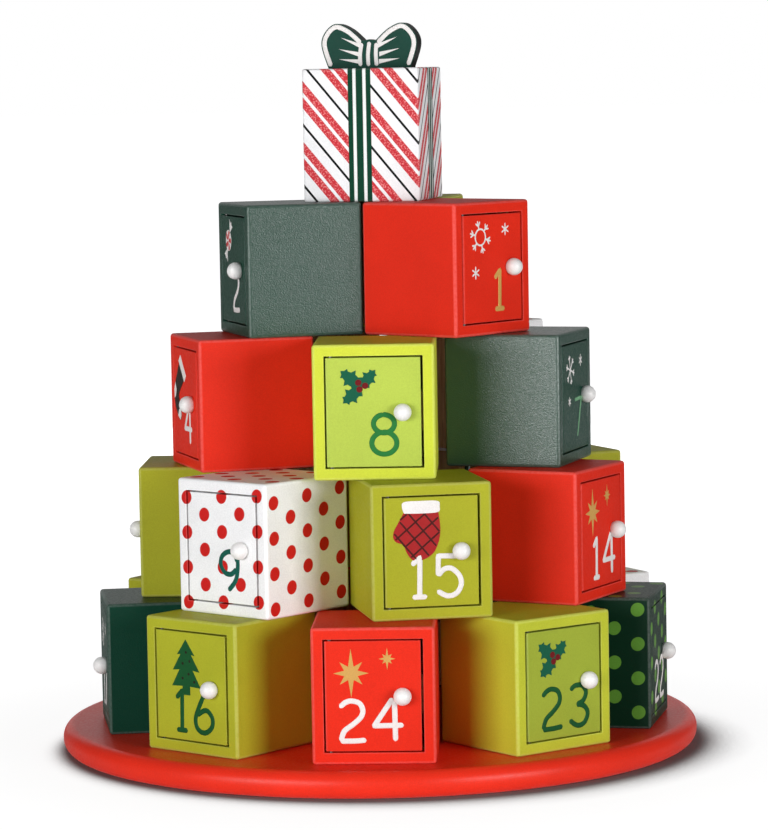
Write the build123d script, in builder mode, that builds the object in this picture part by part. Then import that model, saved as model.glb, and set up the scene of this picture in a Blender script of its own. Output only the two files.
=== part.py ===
from build123d import *
from math import pi, tan
import os

os.makedirs("parts", exist_ok=True)

# Driving sizes, in millimetres
box_width = 62.0
box_depth = 62.0
box_height = 69.0
board = 6.0
door_thick = 5.0
door_gap = 0.8
knob_radius = 4.5
pin_radius = 1.0
pin_fit = 0.05
base_radius = 169.5
base_thick = 14.0
gift_width = 62.0
gift_height = 69.5
gift_shift = 1.7
bow_width = 51.5
bow_height = 24.0
bow_thick = 12.0
edge_round = 1.2
glue_line = 0.05
stack_shift = 3.6

# Angles, in degrees
gift_turn = -12.0

# The tiers from the base upward: which day each box holds, counted clockwise seen from above, the angle
# of the first box, how far each box is set askew, and the play between the inner corners of neighbours
tier_days = (
    (24, 16, 17, 18, 19, 20, 21, 22, 23),
    (15, 9, 10, 11, 12, 13, 14),
    (8, 4, 5, 6, 7),
    (1, 2, 3),
)
tier_turns = (-2.5, 10.7, -2.0, 47.8)
tier_askew_turns = (
    (0, 2.2, 0, 0, 0, 0, 0, 0, 0),
    (0, -1, 0, 0, 0, 0, 0),
    (0, 1, 0, 0, 1.6),
    (2, -1.5, 0),
)
tier_play_shares = (0.010, 0.019, 0.038, 0.008)

# Boxes that stand a little off their seat, by day: moved along the front and outward
box_nudge_shares = {
    1: (-0.030, 0),
    2: (0, -0.008),
    7: (0, 0.016),
    9: (0.034, 0.006),
    14: (0, 0.008),
    15: (0.009, 0),
    17: (0, 0.043),
}

# The paint on each box, in the order of the days
tier_paints = (
    ("red", "lime", "green", "lime", "red", "green", "white_dotted", "green_dotted", "lime"),
    ("lime", "white_dotted", "lime", "red", "green", "lime", "red"),
    ("lime", "red", "green_dotted", "white_dotted", "green"),
    ("red", "green", "lime"),
)

# Half outline of the bow from its foot up to the knot, as shares of its half width and height
bow_foot_share = 0.86
bow_lobe_shares = ((1.0, 0.50), (0.92, 0.80), (0.69, 0.98), (0.40, 0.86))
bow_waist_shares = (0.13, 0.60)
bow_knot_share = 0.63

# Derived sizes
opening_width = box_width - 2 * board
opening_height = box_height - 2 * board
side_foot_z = board + glue_line
side_height = opening_height - 2 * glue_line
back_width = opening_width - 2 * glue_line
hinge_x = -opening_width / 2 + door_gap + door_thick / 2
hinge_y = door_thick / 2
door_free_x = opening_width / 2 - door_gap
door_length = door_free_x - hinge_x
door_height = opening_height - 2 * door_gap
door_foot_z = board + door_gap
pin_bite = board * 0.7
pin_play = pin_bite * 0.1
pin_length = 2 * pin_bite + door_gap - pin_play
knob_x = box_width * 0.235
knob_z = box_height / 2
knob_set = knob_radius * 0.55
stub_radius = knob_radius * 0.36
stub_depth = door_thick * 0.6
stop_depth = board * 0.8
stop_height = opening_height * 0.35
stop_clear = door_gap / 4
stop_y = door_thick + stop_clear
base_round = base_thick * 0.46
gift_foot_z = base_thick + len(tier_days) * box_height
gift_top_z = gift_foot_z + gift_height


# Where each box stands: front centre of its foot, with Y running into the box
def box_place(tier, seat):
    count = len(tier_days[tier])
    touching = box_width / 2 / tan(pi / count)
    front = touching + tier_play_shares[tier] * box_width + box_depth
    turn = tier_turns[tier] - seat * 360 / count
    lift = base_thick + tier * box_height
    along, outward = (share * box_width for share in box_nudge_shares.get(tier_days[tier][seat], (0, 0)))
    ring = Location((stack_shift, 0, lift), (0, 0, turn))
    middle = Location((along, box_depth / 2 - front - outward, 0), (0, 0, tier_askew_turns[tier][seat]))
    return ring * middle * Location((0, -box_depth / 2, 0))


places = {}
paint_places = {}
for tier, days in enumerate(tier_days):
    for seat, day in enumerate(days):
        places[day] = box_place(tier, seat)
        paint_places.setdefault(tier_paints[tier][seat], []).append(places[day])


# The five boards of one box, drawn once at the local origin
with BuildPart() as top_board:
    with BuildSketch(Plane.XY.offset(box_height - board)):
        with Locations((0, box_depth / 2)):
            Rectangle(box_width, box_depth)
    extrude(amount=board)
    fillet(top_board.edges().filter_by(Axis.Z), edge_round)
    fillet(top_board.faces().sort_by(Axis.Z)[-1].edges(), edge_round)
    with BuildSketch(Plane.XY.offset(box_height - board)):
        with Locations((hinge_x, hinge_y)):
            Circle(pin_radius)
    extrude(amount=pin_bite, mode=Mode.SUBTRACT)

with BuildPart() as bottom_board:
    with BuildSketch(Plane.XY):
        with Locations((0, box_depth / 2)):
            Rectangle(box_width, box_depth)
    extrude(amount=board)
    fillet(bottom_board.edges().filter_by(Axis.Z), edge_round)
    fillet(bottom_board.faces().sort_by(Axis.Z)[0].edges(), edge_round)
    with BuildSketch(Plane.XY.offset(board)):
        with Locations((hinge_x, hinge_y)):
            Circle(pin_radius)
    extrude(amount=-pin_bite, mode=Mode.SUBTRACT)

with BuildPart() as left_board:
    with BuildSketch(Plane.XY.offset(side_foot_z)):
        with Locations((board / 2 - box_width / 2, box_depth / 2)):
            Rectangle(board, box_depth)
    extrude(amount=side_height)
    fillet(left_board.edges().filter_by(Axis.Z).sort_by(Axis.X)[:2], edge_round)

with BuildPart() as right_board:
    with BuildSketch(Plane.XY.offset(side_foot_z)):
        with Locations((box_width / 2 - board / 2, box_depth / 2)):
            Rectangle(board, box_depth)
    extrude(amount=side_height)
    fillet(right_board.edges().filter_by(Axis.Z).sort_by(Axis.X)[-2:], edge_round)

with BuildPart() as back_board:
    with BuildSketch(Plane.XY.offset(side_foot_z)):
        with Locations((0, box_depth - board / 2)):
            Rectangle(back_width, board)
    extrude(amount=side_height)

box_boards = (top_board, bottom_board, left_board, right_board, back_board)

# The boxes of one colour: five glued boards each
for paint, spots in paint_places.items():
    boards = []
    for spot in spots:
        for piece in box_boards:
            boards.append(spot * piece.part)
    group = Compound(children=boards, label=f"{paint}_boxes")
    export_step(group, f"parts/{paint}_boxes.step")

# One steel pin in the foot board and one in the top board of each box
with BuildPart() as foot_pin:
    with BuildSketch(Plane.XY.offset(board - pin_bite)):
        with Locations((hinge_x, hinge_y)):
            Circle(pin_radius)
    extrude(amount=pin_length)

with BuildPart() as top_pin:
    with BuildSketch(Plane.XY.offset(box_height - board + pin_bite)):
        with Locations((hinge_x, hinge_y)):
            Circle(pin_radius)
    extrude(amount=-pin_length)

pins = []
for place in places.values():
    pins.append(place * foot_pin.part)
    pins.append(place * top_pin.part)
hinge_pins = Compound(children=pins, label="hinge_pins")
export_step(hinge_pins, "parts/hinge_pins.step")

# A block glued to the right board, where the shut door comes to rest
with BuildPart() as stop_block:
    with BuildSketch(Plane.XY.offset(knob_z - stop_height / 2)):
        with Locations((opening_width / 2 - glue_line - stop_depth / 2, stop_y + stop_depth / 2)):
            Rectangle(stop_depth, stop_depth)
    extrude(amount=stop_height)

stops = [place * stop_block.part for place in places.values()]
door_stops = Compound(children=stops, label="door_stops")
export_step(door_stops, "parts/door_stops.step")

# The door: a flush board with a round hinge edge, a pin hole at each end and a hole for the knob
with BuildPart() as door:
    with BuildSketch(Plane.XY.offset(door_foot_z)):
        with Locations((hinge_x + door_length / 2, hinge_y)):
            Rectangle(door_length, door_thick)
        with Locations((hinge_x, hinge_y)):
            Circle(door_thick / 2)
    extrude(amount=door_height)
    with BuildSketch(Plane.XY.offset(door_foot_z)):
        with Locations((hinge_x, hinge_y)):
            Circle(pin_radius + pin_fit)
    extrude(amount=pin_bite, mode=Mode.SUBTRACT)
    with BuildSketch(Plane.XY.offset(door_foot_z + door_height)):
        with Locations((hinge_x, hinge_y)):
            Circle(pin_radius + pin_fit)
    extrude(amount=-pin_bite, mode=Mode.SUBTRACT)
    with BuildSketch(Plane.XZ):
        with Locations((knob_x, knob_z)):
            Circle(stub_radius + pin_fit)
    extrude(amount=-stub_depth, mode=Mode.SUBTRACT)

# The knob: a ball cut flat where it meets the door, with a stub glued into the door
with BuildPart() as knob:
    with Locations((knob_x, -knob_set, knob_z)):
        Sphere(knob_radius)
    split(bisect_by=Plane.XZ, keep=Keep.TOP)
    with BuildSketch(Plane.XZ):
        with Locations((knob_x, knob_z)):
            Circle(stub_radius)
    extrude(amount=-stub_depth)

for day, place in places.items():
    hung_door = place * door.part
    hung_door.label = f"door_{day:02d}"
    export_step(hung_door, f"parts/door_{day:02d}.step")
    set_knob = place * knob.part
    set_knob.label = f"knob_{day:02d}"
    export_step(set_knob, f"parts/knob_{day:02d}.step")

# The round base with its bullnose edge
with BuildPart() as base_disc:
    with BuildSketch(Plane.XY):
        Circle(base_radius)
    extrude(amount=base_thick)
    fillet(base_disc.edges(), base_round)
base_disc.part.label = "base_disc"
export_step(base_disc.part, "parts/base_disc.step")

# The gift on the top tier, turned a little from the front
gift_x = stack_shift - gift_shift
gift_plane = Plane(Location((gift_x, 0, gift_foot_z), (0, 0, gift_turn)))
with BuildPart() as gift_block:
    with BuildSketch(gift_plane):
        Rectangle(gift_width, gift_width)
    extrude(amount=gift_height)
    fillet(gift_block.edges(), edge_round)
gift_block.part.label = "gift_block"
export_step(gift_block.part, "parts/gift_block.step")

# The bow: a flat cut-out standing upright on the gift
half_bow = bow_width / 2
bow_seat = Location((gift_x, 0, gift_top_z), (0, 0, gift_turn))
bow_plane = Plane(bow_seat * Location((0, 0, 0), (90, 0, 0)))
right_lobe = [(bow_foot_share * half_bow, 0)]
for across, up in bow_lobe_shares:
    right_lobe.append((across * half_bow, up * bow_height))
right_lobe.append((bow_waist_shares[0] * half_bow, bow_waist_shares[1] * bow_height))
left_lobe = [(-across, up) for across, up in right_lobe]
with BuildPart() as gift_bow:
    with BuildSketch(bow_plane):
        with BuildLine():
            Spline(*right_lobe)
            ThreePointArc(right_lobe[-1], (0, bow_knot_share * bow_height), left_lobe[-1])
            Spline(*left_lobe)
            Line(left_lobe[0], right_lobe[0])
        make_face()
    extrude(amount=bow_thick / 2, both=True)
gift_bow.part.label = "gift_bow"
export_step(gift_bow.part, "parts/gift_bow.step")
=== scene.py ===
# %% [markdown]
# # A tower of advent boxes
# The object is a table-top advent calendar: painted wooden boxes stand in four tiers on a round red
# board, each with a small hinged door, and a striped gift block with a bow stands on top. The packed
# model is loaded first and stays fixed. Every piece made here sits in its frame, in metres.

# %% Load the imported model
import math

import bmesh
import bpy
from mathutils import Matrix, Vector


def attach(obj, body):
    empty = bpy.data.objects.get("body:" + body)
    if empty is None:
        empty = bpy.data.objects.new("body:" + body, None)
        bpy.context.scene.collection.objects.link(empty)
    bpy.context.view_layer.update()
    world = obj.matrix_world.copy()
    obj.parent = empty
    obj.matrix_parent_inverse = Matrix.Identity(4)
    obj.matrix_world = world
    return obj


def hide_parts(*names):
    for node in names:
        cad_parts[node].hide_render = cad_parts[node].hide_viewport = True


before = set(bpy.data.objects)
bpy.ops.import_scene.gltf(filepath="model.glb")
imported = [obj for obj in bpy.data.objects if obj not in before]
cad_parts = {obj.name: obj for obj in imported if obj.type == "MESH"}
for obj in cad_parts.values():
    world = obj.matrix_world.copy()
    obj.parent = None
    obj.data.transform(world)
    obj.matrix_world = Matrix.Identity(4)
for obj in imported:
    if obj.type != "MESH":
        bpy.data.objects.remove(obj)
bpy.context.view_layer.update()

MM = 0.001

# %% [markdown]
# ## Camera
# The photograph is taken with a long lens, a little above the middle of the stack and tilted down by
# about five degrees. The picture is rolled by one degree, so the camera is built from its three axes and
# not from an angle triple. The sensor's width covers the picture's long side, so the lens follows from
# the focal length in pixels.

# %% Place the camera
LONG_SIDE, FOCAL_PIXELS, SENSOR = 830, 3752.9, 36
CAMERA_AT = (0.0036, -1.99277, 0.35945)
yaw, pitch, roll = (math.radians(angle) for angle in (0.041, 5.284, -1.024))
level = Vector((math.cos(yaw), -math.sin(yaw), 0))
ahead = Vector((math.sin(yaw) * math.cos(pitch), math.cos(yaw) * math.cos(pitch), -math.sin(pitch)))
above = level.cross(ahead)
side = level * math.cos(roll) + above * math.sin(roll)
upright = above * math.cos(roll) - level * math.sin(roll)
lens = bpy.data.cameras.new("photo_camera")
lens.sensor_width = SENSOR
lens.lens = FOCAL_PIXELS / LONG_SIDE * SENSOR
lens.clip_end = 100
camera = bpy.data.objects.new("photo_camera", lens)
turned = Matrix((side, upright, -ahead)).transposed().to_4x4()
camera.matrix_world = Matrix.Translation(CAMERA_AT) @ turned
bpy.context.collection.objects.link(camera)
bpy.context.scene.camera = camera
print("lens", round(lens.lens, 1), "mm")

# %% [markdown]
# ## Where the boxes stand
# All boxes are alike. A tier is a ring of them that nearly touch at their inner corners, so the ring's
# radius follows from the number of boxes in it. The stack stands a little off the board's centre and some
# boxes are set askew, as in the photo. Each seat is a matrix: X runs to the viewer's right along the box
# front, Y runs into the box and Z up, with the origin at the foot of the front.

# %% Sizes and seats
BOX_W, BOX_D, BOX_H = 62 * MM, 62 * MM, 69 * MM
BOARD = 6 * MM
DOOR_T, DOOR_GAP = 5 * MM, 0.8 * MM
BASE_R, BASE_T = 169.5 * MM, 14 * MM
STACK_X = 3.6 * MM
# For each tier: the days clockwise from above, the first box's angle, and the play as a share of BOX_W
TIERS = (
    ((24, 16, 17, 18, 19, 20, 21, 22, 23), -2.5, 0.010),
    ((15, 9, 10, 11, 12, 13, 14), 10.7, 0.019),
    ((8, 4, 5, 6, 7), -2.0, 0.038),
    ((1, 2, 3), 47.8, 0.008),
)
ASKEW = {16: 2.2, 9: -1.0, 4: 1.0, 7: 1.6, 1: 2.0, 2: -1.5}
# Boxes that stand off their seat, along the front and outward, as shares of a box's width
NUDGE = {
    1: (-0.030, 0), 2: (0, -0.008), 7: (0, 0.016), 9: (0.034, 0.006), 14: (0, 0.008), 15: (0.009, 0),
    17: (0, 0.043),
}
PAINTS = {
    "red": (1, 4, 11, 14, 19, 24),
    "green": (2, 7, 12, 17, 20),
    "lime": (3, 8, 10, 13, 15, 16, 18, 23),
    "white_dotted": (6, 9, 21),
    "green_dotted": (5, 22),
}
paint_of = {day: paint for paint, days in PAINTS.items() for day in days}


def shift(x, y, z):
    return Matrix.Translation((x, y, z))


def turn_z(angle):
    return Matrix.Rotation(angle, 4, "Z")


def seats():
    """The turn about the stack's axis and the matrix of every box, by its day."""
    found = {}
    for tier, (days, first, play) in enumerate(TIERS):
        front = BOX_W / 2 / math.tan(math.pi / len(days)) + play * BOX_W + BOX_D
        for place, day in enumerate(days):
            angle = math.radians(first - place * 360 / len(days))
            askew = math.radians(ASKEW.get(day, 0))
            ring = shift(STACK_X, 0, BASE_T + tier * BOX_H) @ turn_z(angle)
            along, outward = (share * BOX_W for share in NUDGE.get(day, (0, 0)))
            middle = shift(along, BOX_D / 2 - front - outward, 0) @ turn_z(askew)
            found[day] = angle + askew, ring @ middle @ shift(0, -BOX_D / 2, 0)
    return found


seat = seats()
print("seats", len(seat))

# %% [markdown]
# ## Node helpers
# Shaders and Geometry Nodes are both trees of nodes. Written out, every number and every link would be a
# line of its own. One helper makes a node and feeds its inputs, with a number or a colour where the value
# is fixed and with another node's socket where it isn't. The rest are short names for the nodes that come
# up most.

# %% Node helpers
def add_socket(tree, name, kind, way, value=None):
    made = tree.interface.new_socket(name, in_out=way, socket_type="NodeSocket" + kind)
    if value is not None:
        made.default_value = value
    return made


def plug(tree, made, feed):
    for key, value in feed.items():
        if isinstance(value, bpy.types.NodeSocket):
            tree.links.new(value, made.inputs[key])
        else:
            made.inputs[key].default_value = value


def node(tree, kind, feed=None, **settings):
    """A node with its settings, and its inputs fed with values or sockets by name or place."""
    made = tree.nodes.new(kind)
    for key, value in settings.items():
        setattr(made, key, value)
    plug(tree, made, feed or {})
    return made


def maths(tree, operation, a, b=None, clamp=False):
    feed = {0: a} if b is None else {0: a, 1: b}
    return node(tree, "ShaderNodeMath", feed, operation=operation, use_clamp=clamp).outputs[0]


def blend_colours(tree, factor, a, b):
    return node(tree, "ShaderNodeMix", {0: factor, 6: a, 7: b}, data_type="RGBA").outputs[2]


def stretch(tree, value, low, high, to_low, to_high):
    """A Map Range node with clamped ends."""
    feed = dict(enumerate((value, low, high, to_low, to_high)))
    return node(tree, "ShaderNodeMapRange", feed).outputs[0]


def noise(tree, place, scale, detail=2):
    feed = {"Vector": place, "Scale": scale, "Detail": detail}
    return node(tree, "ShaderNodeTexNoise", feed).outputs[0]


def object_place(tree):
    return node(tree, "ShaderNodeTexCoord").outputs["Object"]


def attribute(tree, name):
    return node(tree, "ShaderNodeAttribute", attribute_name=name).outputs["Fac"]


def relief(tree, height, strength, depth):
    feed = {"Height": height, "Strength": strength, "Distance": depth}
    return node(tree, "ShaderNodeBump", feed).outputs[0]


print("node helpers ready")

# %% [markdown]
# ## Paint
# The boards are sprayed with a satin paint. Close up it has a fine orange-peel grain and a slightly uneven
# tone. The eased edges get a painted highlight, a paler line in the paint's colour. All the paints share
# this, so it is one node group that puts out a colour, a roughness and a height. The edges are known from
# an attribute that the meshes carry, which survives every pose.

# %% The paint film group
BLACK, BRIGHT = (0, 0, 0, 1), (1, 1, 1, 1)
MOTTLE_SCALE, PEEL_SCALE, GRAIN_SCALE = 26, 700, 1500
DEEPER, HIGHLIGHT_PALENESS, PEEL_HEIGHT = 0.2, 0.08, 0.12


def paint_film():
    tree = bpy.data.node_groups.new("paint_film", "ShaderNodeTree")
    add_socket(tree, "Coat", "Color", "INPUT")
    add_socket(tree, "Gloss", "Float", "INPUT", 0.4)
    for name, kind in (("Colour", "Color"), ("Roughness", "Float"), ("Height", "Float")):
        add_socket(tree, name, kind, "OUTPUT")
    given = node(tree, "NodeGroupInput").outputs
    coat, place = given["Coat"], object_place(tree)
    mottle = noise(tree, place, MOTTLE_SCALE, 4)
    peel, grain = noise(tree, place, PEEL_SCALE), noise(tree, place, GRAIN_SCALE)
    uneven = stretch(tree, mottle, 0.35, 0.75, 0, 0.5)
    speck = stretch(tree, grain, 0.35, 0.65, 0, 0.4)
    deep = blend_colours(tree, DEEPER, coat, BLACK)
    # Along the eased edges the colour pales toward white: a painted highlight
    highlight_tone = blend_colours(tree, HIGHLIGHT_PALENESS, coat, BRIGHT)
    toned = blend_colours(tree, maths(tree, "ADD", uneven, speck), coat, deep)
    # The painted highlight's strength is the edge mark, broken up by the peel noise
    highlight_share = maths(tree, "MULTIPLY", attribute(tree, "edge"), stretch(tree, peel, 0.3, 0.6, 0.4, 0.8))
    ripple = stretch(tree, peel, 0.3, 0.7, -0.05, 0.08)
    node(tree, "NodeGroupOutput", {
        "Colour": blend_colours(tree, highlight_share, toned, highlight_tone),
        "Roughness": maths(tree, "ADD", given["Gloss"], ripple),
        "Height": maths(tree, "ADD", maths(tree, "MULTIPLY", peel, PEEL_HEIGHT), grain),
    })
    return tree


film = paint_film()
print("group", film.name, len(film.nodes), "nodes")

# %% [markdown]
# ## Polka dots
# Some boxes are dotted. The dots stand in columns, every second column is moved by half a step, and the
# rows lean a little, as hand-laid print does. Painting them as a mask keeps them crisp on door and frame
# alike. The mask reads the piece's own map, which counts in millimetres. The sides of a box have a start
# of their own, and dots that would be cut by the top or the foot are left out.

# %% The dots group
DOT_SIZES = {
    "Across": 12.4, "Along": 18.0, "Radius": 3.6, "Lean": 0.07, "Start across": 0.0, "Start along": 0.0,
}
SIDE_START, SIDE_DROP = 12.9, 5.4
SIDE_FROM, DOT_CLEAR = 40, 4.0
SOFT_EDGE = 0.12


def polka_dots():
    tree = bpy.data.node_groups.new("polka_dots", "ShaderNodeTree")
    add_socket(tree, "Map", "Vector", "INPUT")
    for name, value in DOT_SIZES.items():
        add_socket(tree, name, "Float", "INPUT", value)
    add_socket(tree, "Mask", "Float", "OUTPUT")
    given = node(tree, "NodeGroupInput").outputs
    x, z, _ = node(tree, "ShaderNodeSeparateXYZ", {0: given["Map"]}).outputs

    def calc(*steps):
        return maths(tree, *steps)

    right = calc("SUBTRACT", x, given["Start across"])
    across = calc("DIVIDE", right, given["Across"])
    column = calc("ROUND", across)
    off_x = calc("MULTIPLY", calc("SUBTRACT", across, column), given["Across"])
    on_side = calc("GREATER_THAN", calc("ABSOLUTE", x), SIDE_FROM)
    up = calc("ADD", z, calc("MULTIPLY", on_side, SIDE_DROP))
    up = calc("SUBTRACT", up, given["Start along"])
    up = calc("SUBTRACT", up, calc("MULTIPLY", right, given["Lean"]))
    half_step = calc("MULTIPLY", calc("PINGPONG", column, 1.0), 0.5)
    along = calc("SUBTRACT", calc("DIVIDE", up, given["Along"]), half_step)
    off_z = calc("MULTIPLY", calc("SUBTRACT", along, calc("ROUND", along)), given["Along"])
    far = calc("SQRT", calc("ADD", calc("MULTIPLY", off_x, off_x), calc("MULTIPLY", off_z, off_z)))
    mask = stretch(tree, calc("SUBTRACT", far, given["Radius"]), -SOFT_EDGE, SOFT_EDGE, 1, 0)
    middle = calc("SUBTRACT", z, off_z)
    for rim in (0, BOX_H / MM):
        from_rim = calc("ABSOLUTE", calc("SUBTRACT", middle, rim))
        mask = calc("MULTIPLY", mask, calc("GREATER_THAN", from_rim, DOT_CLEAR))
    node(tree, "NodeGroupOutput", {"Mask": mask})
    return tree


dots = polka_dots()
print("group", dots.name, len(dots.nodes), "nodes")

# %% [markdown]
# ## The finishes
# Each paint is a Principled surface that takes its colour, roughness and bump from the film group. The
# dotted paints mix two coats by the dots mask before the film is laid over them. Boxes of one paint
# differ a little, so a tint attribute picks a fresher colour or a stronger shine for each.

# %% Paint materials
def srgb(*rgb):
    """A colour as read from a picture, 0 to 255, as linear values."""
    linear = [(c / 255 / 12.92 if c <= 10 else ((c / 255 + 0.055) / 1.055) ** 2.4) for c in rgb]
    return (*linear, 1.0)


def new_material(name):
    made = bpy.data.materials.new(name)
    made.use_nodes = True
    return made, made.node_tree, made.node_tree.nodes["Principled BSDF"]


def paint_map(tree):
    return node(tree, "ShaderNodeUVMap", uv_map="paint_mm").outputs[0]


FILM_DEPTH = 0.6 * MM


def dress(tree, colour, gloss, bump, shine):
    """Lays the paint film over a colour. The shine is a level, or a range that the tint picks from."""
    if isinstance(shine, tuple):
        shine = stretch(tree, attribute(tree, "tint"), 0, 1, *shine)
    coated = node(tree, "ShaderNodeGroup", {"Coat": colour, "Gloss": gloss}, node_tree=film).outputs
    plug(tree, tree.nodes["Principled BSDF"], {
        "Base Color": coated["Colour"], "Roughness": coated["Roughness"], "Specular IOR Level": shine,
        "Normal": relief(tree, coated["Height"], bump, FILM_DEPTH),
    })


def painted(name, coat, gloss=0.4, bump=0.10, shine=0.45, fresh=None, spots=None, dots_start=(0, 0)):
    """A painted surface. A fresh colour comes in by the tint attribute, spots are laid on in polka dots."""
    made, tree, _ = new_material(name)
    colour = coat
    if fresh is not None:
        colour = blend_colours(tree, attribute(tree, "tint"), colour, fresh)
    if spots is not None:
        feed = {"Map": paint_map(tree), "Start across": dots_start[0], "Start along": dots_start[1]}
        mask = node(tree, "ShaderNodeGroup", feed, node_tree=dots).outputs[0]
        colour = blend_colours(tree, mask, colour, spots)
    dress(tree, colour, gloss, bump, shine)
    return made


RED, LIME, FRESH_LIME = srgb(232, 46, 26), srgb(164, 164, 34), srgb(210, 220, 66)
GREEN, DEEP_GREEN, DOT_GREEN = srgb(8, 62, 46), srgb(8, 46, 30), srgb(96, 152, 56)
WHITE, DOT_RED, BALL_WHITE = srgb(251, 251, 252), srgb(208, 30, 26), srgb(246, 245, 244)
PALE_LIME, FRESH_PALE, BASE_RED = srgb(156, 170, 52), srgb(184, 204, 82), srgb(238, 50, 30)
coats = {
    "red": painted("red_paint", RED, gloss=0.5, shine=0.1),
    "green": painted("green_paint", GREEN, gloss=0.36, bump=0.35, shine=(0.15, 1.0)),
    "lime": painted("lime_paint", LIME, gloss=0.5, shine=0.12, fresh=FRESH_LIME),
    "white_dotted": painted(
        "white_dotted_paint", WHITE, gloss=0.5, shine=0.15, spots=DOT_RED, dots_start=(0.3, 6.95)),
    "green_dotted": painted(
        "green_dotted_paint", DEEP_GREEN, gloss=0.4, shine=0.12, spots=DOT_GREEN, dots_start=(-0.8, -0.3)),
}
pale_lime = painted("pale_lime_paint", PALE_LIME, gloss=0.5, shine=0.12, fresh=FRESH_PALE)
base_coat = painted("base_paint", BASE_RED, gloss=0.34, shine=0.2)
knob_coat = painted("knob_paint", BALL_WHITE, gloss=0.36, bump=0.04)
print("paints", len(bpy.data.materials))

# %% [markdown]
# ## Bare wood and steel
# The insides and backs of the boxes and the stop blocks are left bare. Soft wood shows long streaks along
# the board, so the noise is stretched in one direction. The pins are drawn steel with fine marks along
# their length.

# %% Wood and steel
WOOD_SQUASH, STEEL_SQUASH = 0.07, 0.05
STREAK_SCALE, PORE_SCALE, MARK_SCALE = 420, 1500, 2500
GRAIN_DEPTH = 0.4 * MM


def along_grain(tree, squash):
    """Object coordinates squashed in height, so that noise runs into upright streaks."""
    feed = {"Vector": object_place(tree), "Scale": (1.0, 1.0, squash)}
    return node(tree, "ShaderNodeMapping", feed).outputs[0]


def bare_wood():
    made, tree, skin = new_material("bare_wood")
    place = along_grain(tree, WOOD_SQUASH)
    streak, pore = noise(tree, place, STREAK_SCALE, 5), noise(tree, place, PORE_SCALE, 5)
    late = stretch(tree, streak, 0.3, 0.7, 0, 1)
    tone = blend_colours(tree, late, srgb(214, 178, 128), srgb(182, 138, 88))
    pored = blend_colours(tree, stretch(tree, pore, 0.56, 0.72, 0, 0.6), tone, srgb(140, 98, 58))
    plug(tree, skin, {
        "Base Color": pored,
        "Roughness": stretch(tree, streak, 0.3, 0.7, 0.62, 0.8),
        "Normal": relief(tree, streak, 0.2, GRAIN_DEPTH),
    })
    return made


def drawn_steel():
    made, tree, skin = new_material("drawn_steel")
    marks = noise(tree, along_grain(tree, STEEL_SQUASH), MARK_SCALE)
    plug(tree, skin, {
        "Metallic": 1.0,
        "Base Color": blend_colours(tree, marks, srgb(70, 69, 68), srgb(108, 107, 106)),
        "Roughness": stretch(tree, marks, 0.3, 0.7, 0.25, 0.45),
    })
    return made


wood, steel = bare_wood(), drawn_steel()
for name, finish in (("door_stops", wood), ("hinge_pins", steel)):
    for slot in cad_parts[name].material_slots:
        slot.material = finish
print("inside finishes", wood.name, steel.name)

# %% [markdown]
# ## Mesh helpers
# Most pieces are drawn with bmesh, which edits corners and faces directly. They share a few steps: easing
# edges, drawing a face out into a body, and marking which corners lie on an eased edge, where the paint
# film lays a painted highlight.

# %% Mesh helpers
def make_piece(name, mesh, *finishes):
    for finish in finishes:
        mesh.materials.append(finish)
    made = bpy.data.objects.new(name, mesh)
    bpy.context.collection.objects.link(made)
    return made


def mesh_of(bm, name):
    mesh = bpy.data.meshes.new(name)
    bm.to_mesh(mesh)
    bm.free()
    return mesh


def is_flat(face):
    return max(abs(c) for c in face.normal) > 0.9999


def ease(bm, edges, offset, segments):
    bmesh.ops.bevel(bm, geom=edges, offset=offset, segments=segments, profile=0.5, affect="EDGES")


def draw_out(bm, face, axis, reach):
    """Draws a face out into a body, up to a reach along an axis."""
    for item in bmesh.ops.extrude_face_region(bm, geom=[face])["geom"]:
        if isinstance(item, bmesh.types.BMVert):
            item.co[axis] = reach
    bmesh.ops.recalc_face_normals(bm, faces=bm.faces)


def split_large(bm):
    bmesh.ops.triangulate(bm, faces=[face for face in bm.faces if len(face.verts) > 4])


def shade(bm, edge, highlight_share):
    """Smooth shading on the eased edges, whose inner corners get the edge mark of the painted highlight."""
    for face in bm.faces:
        face.smooth = not is_flat(face)
    for vert in bm.verts:
        vert[edge] = 0.0 if any(is_flat(face) for face in vert.link_faces) else highlight_share


def map_in_mm(bm):
    """A map that counts in millimetres: the outer sides have their own, all else is seen from the front."""
    layer = bm.loops.layers.uv.new("paint_mm")
    for face in bm.faces:
        n, middle = face.normal, face.calc_center_median()
        for loop in face.loops:
            x, y, z = (c / MM for c in loop.vert.co)
            loop[layer].uv = (x, z)
            if abs(n.z) > 0.7 and abs(middle.z - BOX_H / 2) > BOX_H / 2 - BOARD / 2:
                loop[layer].uv = (x, z + math.copysign(y, n.z))
            elif abs(n.x) > 0.7 and abs(middle.x) > BOX_W / 2 - BOARD / 2:
                loop[layer].uv = (math.copysign(abs(x) + y + SIDE_START, n.x), z)


print("mesh helpers ready")

# %% [markdown]
# ## One box shell
# A real box is glued up from five boards, sanded flush and painted, so outside it reads as one piece with
# eased edges. It could be a cube with a Boolean cut, but a cut leaves poor faces to bevel. Here five
# rings of four corners are joined by hand: the front, the back, the mouth, the depth to which the mouth
# is painted, and the inner end. Then the outer edges get a round of 1.7 mm and the mouth a finer one.

# %% The box shell
PAINTED_DEPTH = 9 * MM
RIM_ROUND, LIP_ROUND = 1.7 * MM, 0.45 * MM


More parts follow.
